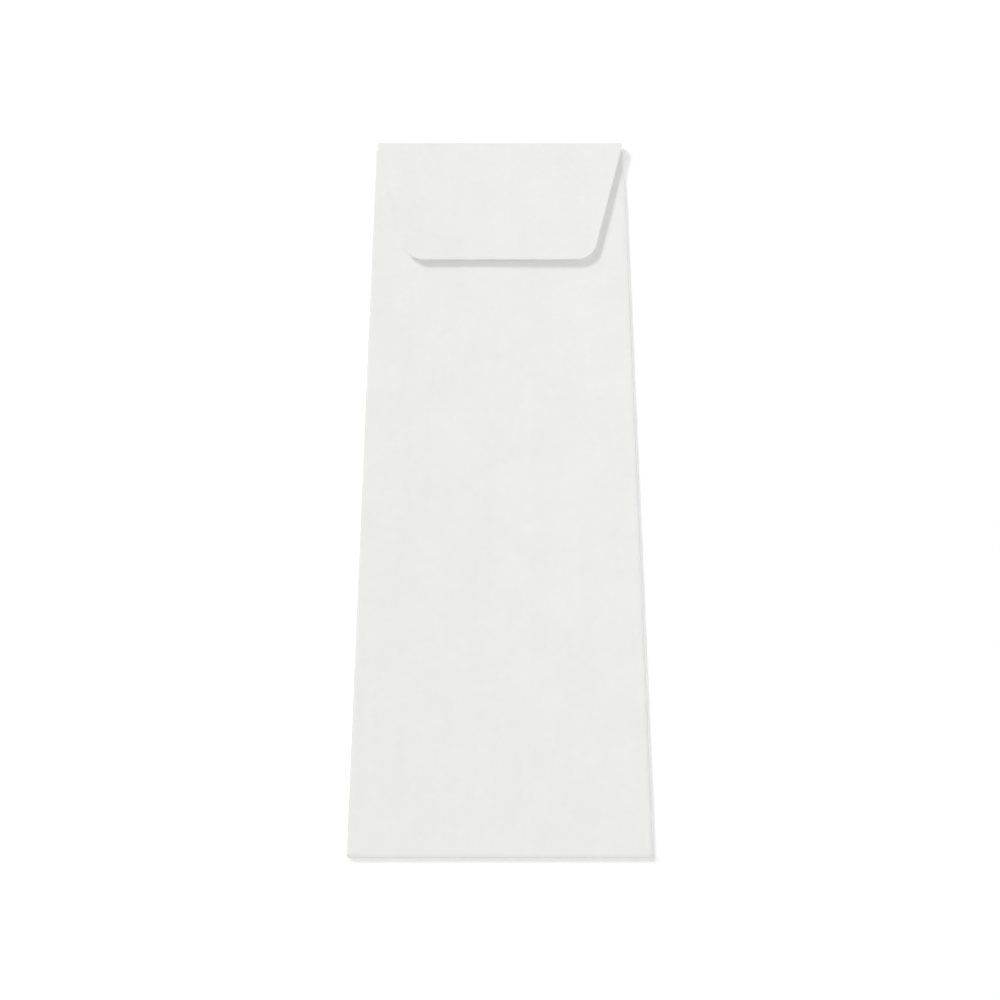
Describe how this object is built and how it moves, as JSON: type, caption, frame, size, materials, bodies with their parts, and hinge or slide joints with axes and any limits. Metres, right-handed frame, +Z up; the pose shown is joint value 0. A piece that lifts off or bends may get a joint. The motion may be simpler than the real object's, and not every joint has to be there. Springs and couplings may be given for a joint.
{
  "type": "paper envelope",
  "caption": "Long open-end paper envelope with a plain front, glued inside side seams and a tapered, round-cornered closing flap folded over the back.",
  "frame": {"origin": "middle of the outline, on the underside of the front panel that the envelope lies on", "axes": "+X across the width, +Y along the length towards the fold of the closing flap, +Z up, out of the flap side"},
  "size_m": [0.105, 0.287, 0.0027],
  "materials": {
    "paper": "uncoated wove"
  },
  "bodies": {
    "root": {"envelope": "paper"}
  },
  "joints": []
}
